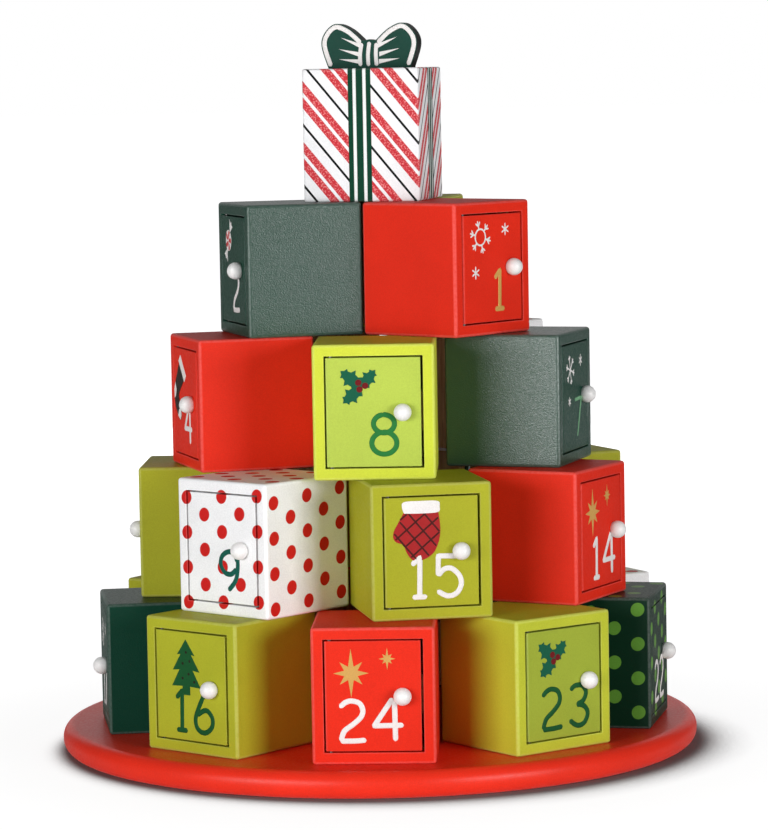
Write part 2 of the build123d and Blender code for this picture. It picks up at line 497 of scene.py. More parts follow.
def box_shell():
    bm = bmesh.new()
    mark, edge = bm.faces.layers.float.new("inside"), bm.verts.layers.float.new("edge")
    half, lip = BOX_W / 2, BOX_W / 2 - BOARD

    def ring(across, low, high, depth):
        corners = ((-across, low), (across, low), (across, high), (-across, high))
        return [bm.verts.new((x, depth, z)) for x, z in corners]

    front, back = (ring(half, 0, BOX_H, depth) for depth in (0, BOX_D))
    mouth, coated, inner = (
        ring(lip, BOARD, BOX_H - BOARD, depth) for depth in (0, PAINTED_DEPTH, BOX_D - BOARD))
    inside = []
    for i in range(4):
        j = (i + 1) % 4
        bm.faces.new((front[i], front[j], mouth[j], mouth[i]))
        bm.faces.new((front[j], front[i], back[i], back[j]))
        bm.faces.new((mouth[i], mouth[j], coated[j], coated[i]))
        inside.append(bm.faces.new((coated[i], coated[j], inner[j], inner[i])))
    inside += [bm.faces.new(back[::-1]), bm.faces.new(inner)]
    bmesh.ops.recalc_face_normals(bm, faces=bm.faces)
    for face in inside:
        face[mark] = 1.0
    rim, lips = (
        [e for e in bm.edges if set(e.verts) <= set(corners)] for corners in (front + back, mouth))
    ease(bm, lips, LIP_ROUND, 2)
    ease(bm, rim, RIM_ROUND, 4)
    bmesh.ops.recalc_face_normals(bm, faces=bm.faces)
    shade(bm, edge, 1.0)
    for face in bm.faces:
        if not is_flat(face):
            face[mark] = 0.0
    map_in_mm(bm)
    return make_piece("box_shell", mesh_of(bm, "box_shell"))


shell = box_shell()
print("box shell", len(shell.data.polygons), "faces")

# %% [markdown]
# ## The boxes on their seats
# Twenty-four boxes would be tedious to copy by hand. A Geometry Nodes tree sets the shell on points
# instead: each point is a seat and carries its turn as an attribute. There is one set of points for each
# paint, so one tree serves all of them. The inside faces are told apart by the mark that the shell
# carries and get bare wood.

# %% A tree that seats the boxes
def named(tree, name):
    return node(tree, "GeometryNodeInputNamedAttribute", {"Name": name}, data_type="FLOAT").outputs[0]


def coat_with(tree, geometry, material, **more):
    feed = {"Geometry": geometry, "Material": material, **more}
    return node(tree, "GeometryNodeSetMaterial", feed).outputs[0]


def seating_tree():
    tree = bpy.data.node_groups.new("seat_boxes", "GeometryNodeTree")
    add_socket(tree, "Seats", "Geometry", "INPUT")
    inputs = {}
    for name, kind in (("Shell", "Object"), ("Paint", "Material"), ("Inside", "Material")):
        inputs[name] = add_socket(tree, name, kind, "INPUT").identifier
    add_socket(tree, "Boxes", "Geometry", "OUTPUT")
    given = node(tree, "NodeGroupInput").outputs
    angles = node(tree, "ShaderNodeCombineXYZ", {"Z": named(tree, "turn")}).outputs[0]
    copies = node(tree, "GeometryNodeInstanceOnPoints", {
        "Points": given["Seats"],
        "Instance": node(tree, "GeometryNodeObjectInfo", {"Object": given["Shell"]}).outputs["Geometry"],
        "Rotation": node(tree, "FunctionNodeEulerToRotation", {0: angles}).outputs[0],
    })
    real = node(tree, "GeometryNodeRealizeInstances", {0: copies.outputs[0]}).outputs[0]
    within = node(
        tree, "FunctionNodeCompare", {0: named(tree, "inside"), 1: 0.5},
        data_type="FLOAT", operation="GREATER_THAN").outputs[0]
    painted_over = coat_with(tree, real, given["Paint"])
    lined = coat_with(tree, painted_over, given["Inside"], Selection=within)
    node(tree, "NodeGroupOutput", {"Boxes": lined})
    return tree, inputs


def grown(name, mesh, tree, inputs, values):
    """The plain mesh that a tree makes of a mesh, with its inputs set by their identifiers."""
    holder = make_piece(name, mesh)
    worker = holder.modifiers.new("grow", "NODES")
    worker.node_group = tree
    for key, value in values.items():
        worker[inputs[key]] = value
    graph = bpy.context.evaluated_depsgraph_get()
    made = bpy.data.meshes.new_from_object(
        holder.evaluated_get(graph), preserve_all_data_layers=True, depsgraph=graph)
    bpy.data.objects.remove(holder)
    return made


def set_values(mesh, name, values):
    mesh.attributes.new(name, "FLOAT", "POINT").data.foreach_set("value", values)


seating, seating_inputs = seating_tree()
print("tree", seating.name, "inputs", sorted(seating_inputs))

# %% Seat the boxes of each paint
USUAL_TINT = 0.1
BOX_TINT = {8: 1.0, 23: 0.6, 16: 0.25, 15: 0.12, 7: 0.9, 2: 0.5, 17: 0.0}
for paint, days in PAINTS.items():
    points = bpy.data.meshes.new(paint + "_seats")
    points.from_pydata([seat[day][1].translation for day in days], [], [])
    set_values(points, "turn", [seat[day][0] for day in days])
    set_values(points, "tint", [BOX_TINT.get(day, USUAL_TINT) for day in days])
    values = {"Shell": shell, "Paint": coats[paint], "Inside": wood}
    boxes = make_piece(paint + "_shells", grown(paint + "_seats", points, seating, seating_inputs, values))
    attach(boxes, "calendar")
    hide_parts(paint + "_boxes")
    print(boxes.name, len(days), "boxes", len(boxes.data.polygons), "faces")
bpy.data.objects.remove(shell)

# %% [markdown]
# ## The doors
# A door is a flush board whose hinge edge is eased, so that it can turn close to the frame. One outline
# seen from above, drawn upward, gives the whole board. Its other edges are eased too, less, which catches
# the light beside the dark gap; the eased edges also carry a weaker painted highlight.

# %% One door and its copies
DOOR_TINT = {8: 1.0, 23: 0.15, 16: 0.25, 15: 0.1}
DOOR_COAT = {8: pale_lime, 23: pale_lime}
HINGE_EDGE, HINGE_ROUND, HINGE_STEPS = DOOR_GAP - (BOX_W / 2 - BOARD), 1.0 * MM, 4
FREE_X = BOX_W / 2 - BOARD - 1.5 * DOOR_GAP
DOOR_FOOT, DOOR_HEAD = BOARD + DOOR_GAP, BOX_H - BOARD - DOOR_GAP
DOOR_EASE, CRISP = 0.4 * MM, 1.0


def quarter(centre, radius, start, steps):
    """The points of a quarter turn about a centre, from a start angle on."""
    turns = (start + math.pi / 2 * i / steps for i in range(steps + 1))
    return [(centre[0] + radius * math.cos(a), centre[1] + radius * math.sin(a)) for a in turns]


def door_board():
    bm = bmesh.new()
    edge = bm.verts.layers.float.new("edge")
    outline = [(FREE_X, 0), (FREE_X, DOOR_T)]
    for depth, start in ((DOOR_T - HINGE_ROUND, math.pi / 2), (HINGE_ROUND, math.pi)):
        outline += quarter((HINGE_EDGE + HINGE_ROUND, depth), HINGE_ROUND, start, HINGE_STEPS)
    low = bm.faces.new([bm.verts.new((x, y, DOOR_FOOT)) for x, y in outline])
    draw_out(bm, low, 2, DOOR_HEAD)
    ease(bm, [e for e in bm.edges if e.calc_face_angle(0) > CRISP], DOOR_EASE, 2)
    # The eased edges get a weaker painted highlight
    shade(bm, edge, 0.7)
    map_in_mm(bm)
    return mesh_of(bm, "door_board")


board = door_board()
for day, (_, place) in seat.items():
    mesh = board.copy()
    mesh.transform(place)
    set_values(mesh, "tint", [DOOR_TINT.get(day, USUAL_TINT)] * len(mesh.vertices))
    leaf = make_piece(f"door_leaf_{day:02d}", mesh, DOOR_COAT.get(day, coats[paint_of[day]]))
    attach(leaf, f"hung_door_{day:02d}")
    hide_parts(f"door_{day:02d}")
print("doors", len(seat), "with", len(board.polygons), "faces each")

# %% [markdown]
# ## The knobs
# The knobs are turned wooden balls, cut flat where they are glued to the door. Turning a half outline
# about its axis is what a lathe does, so the mesh is spun the same way.

# %% One knob and its copies
KNOB_R, KNOB_OUT = 4.5 * MM, 2.475 * MM
KNOB_AT = Vector((0.235 * BOX_W, 0, BOX_H / 2))
KNOB_RINGS, KNOB_STEPS = 18, 32


def spin_outline(outline, steps):
    """A closed turned body from (radius, height) points; ends on the axis are single corners."""
    bm = bmesh.new()
    rings = []
    for radius, height in outline:
        if radius < 1e-9:
            rings.append([bm.verts.new((0, 0, height))] * steps)
        else:
            turns = (2 * math.pi * i / steps for i in range(steps))
            spots = [(radius * math.cos(a), radius * math.sin(a), height) for a in turns]
            rings.append([bm.verts.new(spot) for spot in spots])
    for low, high in zip(rings, rings[1:]):
        for i in range(steps):
            corners = (low[i], low[(i + 1) % steps], high[(i + 1) % steps], high[i])
            bm.faces.new(list(dict.fromkeys(corners))).smooth = True
    bmesh.ops.recalc_face_normals(bm, faces=bm.faces)
    return bm


def knob_ball():
    waist = math.sqrt(KNOB_R ** 2 - KNOB_OUT ** 2)
    start = math.atan2(-KNOB_OUT, waist)
    outline = [(0, 0), (waist, 0)]
    for i in range(1, KNOB_RINGS):
        a = start + (math.pi / 2 - start) * i / KNOB_RINGS
        outline.append((KNOB_R * math.cos(a), KNOB_OUT + KNOB_R * math.sin(a)))
    outline.append((0, KNOB_OUT + KNOB_R))
    bm = spin_outline(outline, KNOB_STEPS)
    bm.transform(Matrix.Translation(KNOB_AT) @ Matrix.Rotation(math.pi / 2, 4, "X"))
    return mesh_of(bm, "knob_ball")


ball = knob_ball()
for day, (_, place) in seat.items():
    mesh = ball.copy()
    mesh.transform(place)
    knob = make_piece(f"knob_ball_{day:02d}", mesh, knob_coat)
    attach(knob, f"hung_door_{day:02d}")
    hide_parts(f"knob_{day:02d}")
print("knobs", len(seat), "with", len(ball.polygons), "faces each")

# %% [markdown]
# ## The base
# The base is a round board with a bullnose edge, routed and painted red. It is turned from its outline
# like the knobs, with enough steps that the rim stays smooth in a close view.

# %% The base board
NOSE, NOSE_STEPS, BASE_STEPS = 0.46 * BASE_T, 8, 192


def base_board():
    outline = [(0, 0)]
    for height, start in ((NOSE, -math.pi / 2), (BASE_T - NOSE, 0)):
        outline += quarter((BASE_R - NOSE, height), NOSE, start, NOSE_STEPS)
    outline.append((0, BASE_T))
    bm = spin_outline(outline, BASE_STEPS)
    for face in bm.faces:
        face.smooth = not is_flat(face)
    return mesh_of(bm, "base_board")


base = make_piece("base_board", base_board(), base_coat)
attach(base, "calendar")
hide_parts("base_disc")
print("base", len(base.data.polygons), "faces")

# %% [markdown]
# ## Brush strokes
# The day numbers and snowflakes are lettered by hand in a thick paint that stands a little proud of the
# door. A font would be too regular, and a picture would be flat. Here every stroke is a line on the
# door's front, and a Geometry Nodes tree gives it a round section with round ends, pressed flat in the
# direction of the door's thickness.

# %% A tree that brushes lines
END_SHARE, STROKE_SIDES = 0.12, 10


def brush_tree():
    tree = bpy.data.node_groups.new("brush_strokes", "GeometryNodeTree")
    add_socket(tree, "Lines", "Geometry", "INPUT")
    inputs = {}
    for name, value in (("Half width", 1.2 * MM), ("Flatness", 0.12), ("Step", 0.5 * MM)):
        inputs[name] = add_socket(tree, name, "Float", "INPUT", value).identifier
    inputs["Paint"] = add_socket(tree, "Paint", "Material", "INPUT").identifier
    add_socket(tree, "Strokes", "Geometry", "OUTPUT")
    given = node(tree, "NodeGroupInput").outputs
    half = given["Half width"]
    path = node(tree, "GeometryNodeMeshToCurve", {0: given["Lines"]}).outputs[0]
    even = node(tree, "GeometryNodeResampleCurve", {"Curve": path, "Length": given["Step"]}, mode="LENGTH")
    along = node(tree, "GeometryNodeSplineParameter").outputs["Length"]
    whole = node(tree, "GeometryNodeSplineLength").outputs["Length"]
    to_end = maths(tree, "MINIMUM", along, maths(tree, "SUBTRACT", whole, along))
    back = maths(tree, "SUBTRACT", 1.0, maths(tree, "DIVIDE", to_end, half, clamp=True))
    round_end = maths(tree, "SQRT", maths(tree, "SUBTRACT", 1.0, maths(tree, "MULTIPLY", back, back)))
    feed = {"Resolution": STROKE_SIDES, "Radius": 1.0}
    section = node(tree, "GeometryNodeCurvePrimitiveCircle", feed)
    tube = node(tree, "GeometryNodeCurveToMesh", {
        "Curve": even.outputs[0],
        "Profile Curve": section.outputs[0],
        "Scale": maths(tree, "MULTIPLY", maths(tree, "MAXIMUM", round_end, END_SHARE), half),
        "Fill Caps": True,
    })
    press = node(tree, "ShaderNodeCombineXYZ", {"X": 1.0, "Y": given["Flatness"], "Z": 1.0}).outputs[0]
    spot = node(tree, "GeometryNodeInputPosition").outputs[0]
    flat = node(tree, "ShaderNodeVectorMath", {0: spot, 1: press}, operation="MULTIPLY").outputs[0]
    pressed = node(tree, "GeometryNodeSetPosition", {"Geometry": tube.outputs[0], "Position": flat})
    smooth = node(tree, "GeometryNodeSetShadeSmooth", {0: pressed.outputs[0]})
    real = node(tree, "GeometryNodeRealizeInstances", {0: smooth.outputs[0]})
    node(tree, "NodeGroupOutput", {"Strokes": coat_with(tree, real.outputs[0], given["Paint"])})
    return tree, inputs


def brushed(lines, paint, half_width, lift=0.0):
    """A mesh of brush strokes along lines of (x, z) points in millimetres."""
    spots, edges = [], []
    for line in lines:
        start = len(spots)
        spots += [(x * MM, 0, z * MM) for x, z in line]
        edges += [(start + i, start + i + 1) for i in range(len(line) - 1)]
    mesh = bpy.data.meshes.new("lines")
    mesh.from_pydata(spots, edges, [])
    values = {"Half width": half_width * MM, "Paint": paint}
    strokes = grown("lines", mesh, brushing, brushing_inputs, values)
    strokes.transform(shift(0, -lift * MM, 0))
    return strokes


brushing, brushing_inputs = brush_tree()
print("tree", brushing.name, "inputs", sorted(brushing_inputs))

# %% [markdown]
# ## Flat shapes
# Leaves, stars and the other motifs are laid on through a stencil, so they are flat shapes with a crisp
# edge. Each one is a polygon drawn forward by a fraction of a millimetre. All strokes and shapes of a
# door are joined into one piece.

# %% Drawing helpers
PAINT_T, PAINT_SUNK = 0.12, 0.05


def flat_shape(outline, paint, lift=0.0):
    """A thin plate over an outline of (x, z) points in millimetres, sunk a little into the door."""
    bm = bmesh.new()
    plate = bm.faces.new([bm.verts.new((x * MM, PAINT_SUNK * MM, z * MM)) for x, z in outline])
    draw_out(bm, plate, 1, -(PAINT_T + lift) * MM)
    split_large(bm)
    mesh = mesh_of(bm, "plate")
    mesh.materials.append(paint)
    return mesh


def joined(name, meshes):
    """One mesh of many, with a slot for each material."""
    bm = bmesh.new()
    paints = []
    for mesh in meshes:
        paint = mesh.materials[0]
        if paint not in paints:
            paints.append(paint)
        before = len(bm.faces)
        bm.from_mesh(mesh)
        bm.faces.ensure_lookup_table()
        for face in bm.faces[before:]:
            face.material_index = paints.index(paint)
        bpy.data.meshes.remove(mesh)
    whole = mesh_of(bm, name)
    for paint in paints:
        whole.materials.append(paint)
    return whole


def rounded(spots, steps=6):
    """A smooth line through the spots."""
    ends = [spots[0], *spots, spots[-1]]
    line = []
    for four in zip(ends, ends[1:], ends[2:], ends[3:]):
        for i in range(steps):
            t = i / steps
            line.append(tuple(
                b + 0.5 * t * (c - a + t * (2 * a - 5 * b + 4 * c - d + t * (3 * (b - c) + d - a)))
                for a, b, c, d in zip(*four)))
    return line + [spots[-1]]


def oval(x, z, across, up, start=90, sweep=372, steps=28):
    """A line round an oval, a little more than once round by default so that its ends overlap."""
    turns = (math.radians(start + sweep * i / steps) for i in range(steps + 1))
    return [(x + across * math.cos(a), z + up * math.sin(a)) for a in turns]


def disc(x, z, radius, steps=20):
    return oval(x, z, radius, radius, sweep=360, steps=steps)[:-1]


def placed(spots, x, z, scale=1.0, turn=0.0):
    """The spots scaled, turned by degrees and moved."""
    c, s = scale * math.cos(math.radians(turn)), scale * math.sin(math.radians(turn))
    return [(x + c * u - s * v, z + s * u + c * v) for u, v in spots]


def mirrored(spots):
    return [(-x, z) for x, z in spots]


print("drawing helpers ready")

# %% Inks
INKS = {
    "white": (240, 236, 234), "gold": (212, 164, 90), "leaf": (16, 92, 66), "fir": (20, 84, 42),
    "holly": (40, 122, 58), "berry": (112, 20, 24), "wool": (168, 32, 34), "thread": (70, 18, 16),
    "pale_green": (120, 174, 132), "dark": (38, 26, 18), "teal": (18, 92, 78), "candy": (200, 32, 40),
}
inks = {name: painted("ink_" + name, srgb(*rgb), gloss=0.45, bump=0.06, shine=0.15)
        for name, rgb in INKS.items()}
print("inks", len(inks))

# %% [markdown]
# ## The numbers
# Each digit is drawn in a cell of one by one: the one with a flag and a foot, the two with a straight
# foot. Lines marked as curved are rounded through their points. Two digits share the door's width, and a
# single digit stands right of the middle.

# %% Digits
DIGITS = {
    "0": ((True, oval(0.5, 0.5, 0.46, 0.5)),),
    "1": ((False, [(0.12, 0.79), (0.58, 1.0), (0.53, 0.0)]), (False, [(0.12, 0.0), (0.95, 0.0)])),
    "2": (
        (True, [(0.02, 0.84), (0.25, 0.96), (0.50, 1.0), (0.82, 0.94), (0.95, 0.77), (0.87, 0.60),
            (0.57, 0.43), (0.20, 0.26), (0.05, 0.01)]),
        (False, [(0.03, 0.01), (0.60, 0.01), (1.08, 0.03)]),
    ),
    "3": (
        (True, [(0.08, 0.90), (0.34, 1.0), (0.72, 0.98), (0.92, 0.80), (0.76, 0.60), (0.40, 0.53)]),
        (True, [(0.40, 0.53), (0.82, 0.46), (1.0, 0.26), (0.80, 0.04), (0.42, 0.0), (0.02, 0.16)]),
    ),
    "4": ((False, [(0.74, 1.06), (-0.03, 0.38), (1.16, 0.39)]), (False, [(0.80, 1.0), (0.82, 0.0)])),
    "5": (
        (False, [(0.93, 0.98), (0.07, 1.0), (0.05, 0.50)]),
        (True, [(0.05, 0.50), (0.28, 0.66), (0.60, 0.68), (0.92, 0.50), (1.0, 0.28), (0.80, 0.06),
            (0.42, 0.0), (0.0, 0.14)]),
    ),
    "6": (
        (True, [(0.58, 1.0), (0.26, 0.66), (0.03, 0.32), (0.16, 0.07), (0.55, 0.0), (0.93, 0.16),
            (0.96, 0.40), (0.62, 0.57), (0.12, 0.42)]),
    ),
    "7": ((False, [(0.0, 0.98), (1.0, 1.0), (0.36, 0.0)]),),
    "8": ((True, oval(0.5, 0.28, 0.5, 0.28)), (True, oval(0.5, 0.77, 0.42, 0.23))),
    "9": (
        (True, [(0.94, 0.74), (0.82, 0.95), (0.48, 1.0), (0.12, 0.88), (0.02, 0.66), (0.24, 0.46),
            (0.60, 0.43), (0.90, 0.58)]),
        (True, [(0.95, 0.92), (0.97, 0.62), (0.84, 0.28), (0.42, 0.0)]),
    ),
}
PAIR_SHIFT = {24: -1.8, 23: 0.6}
PAIR_AT, PAIR_WIDE, PAIR_FOOT, PAIR_HIGH = (-9.2, 8.5), 12.4, 11.8, 20.4
SLIM_WIDE, SLIM_SHIFT = 9.2, 2.2
SINGLE_AT, SINGLE_WIDE, SINGLE_FOOT, SINGLE_HIGH = 5.0, 12.6, 13.2, 20.0
LONE_ONE_WIDE = 9.5
STROKE, THIN_STROKE = 1.4, 1.0


def number(day, ink):
    signs = str(day)
    if len(signs) == 1:
        across = LONE_ONE_WIDE if day == 1 else SINGLE_WIDE
        cells = [(signs, SINGLE_AT, across, SINGLE_FOOT, SINGLE_HIGH)]
    else:
        cells = []
        for sign, middle in zip(signs, PAIR_AT):
            middle += PAIR_SHIFT.get(day, 0.0) + (SLIM_SHIFT if sign == "1" else 0)
            cells.append((sign, middle, SLIM_WIDE if sign == "1" else PAIR_WIDE, PAIR_FOOT, PAIR_HIGH))
    lines = []
    for sign, middle, across, foot, high in cells:
        for curved, spots in DIGITS[sign]:
            line = [(middle + (x - 0.5) * across, foot + z * high) for x, z in spots]
            lines.append(rounded(line) if curved else line)
    return [brushed(lines, inks[ink], THIN_STROKE if ink == "pale_green" else STROKE)]


print("digits", len(DIGITS))

# %% [markdown]
# ## The motifs
# These are the plain signs of the season: stars, holly, a mitten, a fir, snow, a sweet and a stocking.
# Their corners are measured on the doors that face the camera and are drawn again on the doors that
# don't.

# %% Stars and holly
def star(x, z, up, across, diagonal, inner):
    reach = (across, inner, diagonal, inner, up, inner, diagonal, inner) * 2
    turns = (math.radians(22.5 * i) for i in range(16))
    return [(x + r * math.cos(a), z + r * math.sin(a)) for r, a in zip(reach, turns)]


def stars():
    big, small = star(-11.0, 46.1, 12.2, 8.8, 8.0, 3.6), star(7.1, 53.2, 5.7, 4.2, 3.4, 1.7)
    return [flat_shape(big, inks["gold"]), flat_shape(small, inks["gold"])]


HALF_LEAF = [
    (0.0, 0.05), (0.10, 0.16), (0.20, 0.32), (0.31, 0.22), (0.46, 0.24), (0.55, 0.38), (0.64, 0.20),
    (0.76, 0.16), (0.84, 0.22), (0.88, 0.09),
]
LEAF_ROOT, LEAVES = (-6.2, 47.3), ((13.4, 141, 0), (11.4, 50, 0.02), (12.4, 221, 0.04))
BERRY_R, BERRIES = 1.6, ((-7.6, 49.6), (-7.0, 46.2), (-4.2, 48.0))


def holly():
    leaf = HALF_LEAF + [(1.0, 0.0)] + [(x, -z) for x, z in reversed(HALF_LEAF)]
    made = [
        flat_shape(placed(leaf, *LEAF_ROOT, size, turn), inks["leaf"], lift)
        for size, turn, lift in LEAVES
    ]
    return made + [flat_shape(disc(x, z, BERRY_R), inks["berry"], 0.12) for x, z in BERRIES]


print("leaf corners", 2 * len(HALF_LEAF) + 1)

# %% Mitten and fir
def hatch(outline, turn, step):
    """Lines across an outline, a step apart."""
    c, s = math.cos(math.radians(turn)), math.sin(math.radians(turn))
    flat = [(c * x + s * z, c * z - s * x) for x, z in outline]
    low, high = min(v for u, v in flat), max(v for u, v in flat)
    lines = []
    for row in range(1, int((high - low) / step) + 1):
        level = low + row * step
        cuts = []
        for (u0, v0), (u1, v1) in zip(flat, flat[1:] + flat[:1]):
            if (v0 < level) != (v1 < level):
                cuts.append(u0 + (level - v0) / (v1 - v0) * (u1 - u0))
        cuts.sort()
        for a, b in zip(cuts[::2], cuts[1::2]):
            if b - a > 1.5:
                lines.append([(c * u - s * level, s * u + c * level) for u in (a + 0.3, b - 0.3)])
    return lines


def mitten():
    hand = [
        (3.5, 54.5), (4.4, 46.5), (3.7, 40.3), (1.0, 34.2), (-4.0, 30.8), (-9.0, 30.2), (-12.2, 33.0),
        (-14.3, 38.0),
    ]
    thumb = [(-15.3, 38.8), (-18.4, 40.0), (-19.8, 42.4), (-19.3, 45.6), (-17.2, 49.4), (-14.3, 54.5)]
    cuff = [
        (-14.0, 54.2), (-5.5, 54.0), (3.2, 54.4), (4.2, 57.2), (3.2, 60.0), (-5.5, 60.3), (-14.0, 60.0),
        (-15.0, 57.2), (-14.0, 54.2),
    ]
    outline = rounded(hand)[:-1] + rounded(hand[-1:] + thumb)
    weave = hatch(outline, 40, 6.0) + hatch(outline, 130, 6.0)
    return [
        flat_shape(outline, inks["wool"]), brushed(weave, inks["thread"], 0.6, 0.08),
        flat_shape(rounded(cuff)[:-1], inks["white"], 0.04),
    ]


def fir():
    half = [
        (0.0, 58.6), (6.0, 50.6), (3.6, 50.9), (9.2, 42.4), (4.6, 42.9), (9.9, 34.2),
        (2.6, 34.6), (2.6, 30.1),
    ]
    baubles = ((-3.0, 52.0), (-5.4, 46.2), (-0.6, 47.6), (-5.6, 38.6), (-1.4, 41.0), (2.4, 37.2))
    outline = placed(half + mirrored(half[:0:-1]), -3.2, 0)
    made = [flat_shape(outline, inks["fir"])]
    return made + [flat_shape(disc(x, z, 0.7, 10), inks["dark"], 0.05) for x, z in baubles]


print("wool and fir ready")

# %% Snow, sweet and stocking
def flake(x, z, reach, ring):
    """Lines of a snowflake; a ring of its own takes the place of the inner half of the arms."""
    arm = [[(ring, 0), (reach, 0)]]
    for side in (-1, 1):
        arm.append([(0.66 * reach, 0), (0.90 * reach, side * 0.22 * reach)])
    lines = [placed(line, x, z, 1.0, 45 + 60 * i) for i in range(6) for line in arm]
    return lines + ([oval(x, z, ring, ring)] if ring else [])


def asterisk(x, z, reach):
    return [placed([(-reach, 0), (reach, 0)], x, z, 1.0, 30 + 60 * i) for i in range(3)]


def snow(large, *small):
    """A large flake and small ones, each given by its place and its reach."""
    white, dabs = inks["white"], [line for one in small for line in asterisk(*one)]
    return [brushed(flake(*large), white, 0.5), brushed(dabs, white, 0.45)]


def flakes():
    return snow((-9.4, 49.0, 8.0, 0.0), (10.6, 52.8, 3.3), (-11.4, 32.6, 2.6))


def ringed_flakes():
    return snow((-10.0, 50.8, 8.8, 4.2), (10.6, 54.2, 3.3), (-14.2, 32.6, 3.4))


def sweet():
    x, z, radius, lean = -8.6, 49.4, 5.6, 57
    fan = [(5.0, 0.0), (11.0, 3.6), (10.4, 1.4), (11.6, 0.0), (10.4, -1.4), (11.0, -3.6)]
    swirl = [(0.4, 0.0), (2.6, 1.2), (4.2, 1.3), (5.3, 0.4), (5.2, -1.6), (3.4, -1.0), (1.8, -0.8)]
    made = [flat_shape(placed(fan, x, z, 1.0, lean + half), inks["white"]) for half in (0, 180)]
    made.append(flat_shape(disc(x, z, radius, 28), inks["white"], 0.03))
    return made + [flat_shape(placed(swirl, x, z, 1.0, 72 * i), inks["candy"], 0.08) for i in range(5)]


def stocking():
    cuff = [(-12.5, 55.6), (-8.6, 58.8), (2.6, 48.6), (-1.2, 45.0)]
    leg = [(-11.6, 54.6), (-17.0, 48.0), (-21.8, 42.0), (-22.8, 36.4), (-20.6, 31.0), (-15.6, 26.4)]
    foot = [(-15.6, 26.4), (-11.0, 24.4), (-8.6, 26.6), (-9.4, 31.0), (-12.6, 35.4), (-12.4, 38.6),
        (-2.2, 45.8)]
    heel = [(-20.2, 44.0), (-22.6, 40.0), (-22.4, 35.2), (-19.4, 36.6), (-18.0, 40.0)]
    toe = [(-15.6, 26.4), (-11.0, 24.4), (-8.6, 26.6), (-9.4, 31.0), (-13.2, 29.8)]
    outline = rounded(leg)[:-1] + rounded(foot)
    made = [flat_shape(outline, inks["dark"]), flat_shape(cuff, inks["white"], 0.05)]
    return made + [flat_shape(patch, inks["white"], 0.04) for patch in (heel, toe)]


print("snow, sweet and stocking ready")

# %% Paint the doors
ARTWORK = {
    1: (ringed_flakes, "gold"), 2: (sweet, "white"), 3: (holly, "holly"), 4: (stocking, "white"),
    5: (None, "white"), 6: (None, "teal"), 7: (flakes, "pale_green"), 8: (holly, "holly"),
    9: (None, "teal"), 10: (mitten, "white"), 11: (ringed_flakes, "gold"), 12: (sweet, "white"),
    13: (fir, "fir"),
    14: (stars, "white"), 15: (mitten, "white"), 16: (fir, "fir"), 17: (flakes, "white"),
    18: (holly, "holly"), 19: (stars, "white"), 20: (flakes, "pale_green"), 21: (None, "teal"),
    22: (None, "white"), 23: (holly, "fir"), 24: (stars, "white"),
}
for day, (motif, ink) in ARTWORK.items():
    mesh = joined(f"painting_{day:02d}", number(day, ink) + (motif() if motif else []))
    mesh.transform(seat[day][1])
    painting = make_piece(f"painting_{day:02d}", mesh)
    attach(painting, f"hung_door_{day:02d}")
print("painted doors", len(ARTWORK))

# %% [markdown]
# ## The gift block
# The block on top is wrapped in printed paper: pairs of glittering red stripes and thin black lines run
# aslant, turn at each upright edge into a chevron, and a printed ribbon stands in the middle of each
# face. The print is a node group that reads the block's map in millimetres, so the stripes stay crisp and
# meet at the edges.

# %% The wrapping group
GIFT_W, GIFT_H = 62 * MM, 69.5 * MM
SLANT, REPEAT = 1.207, 31.9
STRIPES_AT, STRIPE_HALF = (8.6, 17.1), 3.0
LINE_AT, LINE_HALF = 28.7, 0.95
RIBBON_AT, RIBBON_HALF = 30.6, 6.1
PINSTRIPE_OFF, PINSTRIPE_HALF = 2.65, 0.85
GLITTER_SCALE = 1300


def band(tree, value, middle, half):
    """One within a half width of the middle, with a soft border."""
    off = maths(tree, "ABSOLUTE", maths(tree, "SUBTRACT", value, middle))
    return stretch(tree, off, half - SOFT_EDGE, half + SOFT_EDGE, 1, 0)


def gift_wrap():
    tree = bpy.data.node_groups.new("gift_wrap", "ShaderNodeTree")
    add_socket(tree, "Map", "Vector", "INPUT")
    add_socket(tree, "Slant", "Float", "INPUT", SLANT)
    add_socket(tree, "Repeat", "Float", "INPUT", REPEAT)
    for name in ("Stripe", "Line", "Ribbon", "Pinstripe"):
        add_socket(tree, name, "Float", "OUTPUT")
    given = node(tree, "NodeGroupInput").outputs
    x, z, _ = node(tree, "ShaderNodeSeparateXYZ", {0: given["Map"]}).outputs
    wide, high = GIFT_W / MM, GIFT_H / MM
    run = maths(tree, "PINGPONG", maths(tree, "ADD", x, 4.5 * wide), wide)
    # Whole repeats are added, so that the remainder is taken of a positive number on the sides
    fall = maths(tree, "SUBTRACT", high + 4 * REPEAT, z)
    slanted = maths(tree, "SUBTRACT", fall, maths(tree, "MULTIPLY", run, given["Slant"]))
    phase = maths(tree, "MODULO", slanted, given["Repeat"])
    aside = maths(tree, "ABSOLUTE", maths(tree, "SUBTRACT", run, RIBBON_AT))
    stripes = (band(tree, phase, middle, STRIPE_HALF) for middle in STRIPES_AT)
    node(tree, "NodeGroupOutput", {
        "Stripe": maths(tree, "MAXIMUM", *stripes),
        "Line": band(tree, phase, LINE_AT, LINE_HALF),
        "Ribbon": band(tree, aside, 0.0, RIBBON_HALF),
        "Pinstripe": band(tree, aside, PINSTRIPE_OFF, PINSTRIPE_HALF),
    })
    return tree


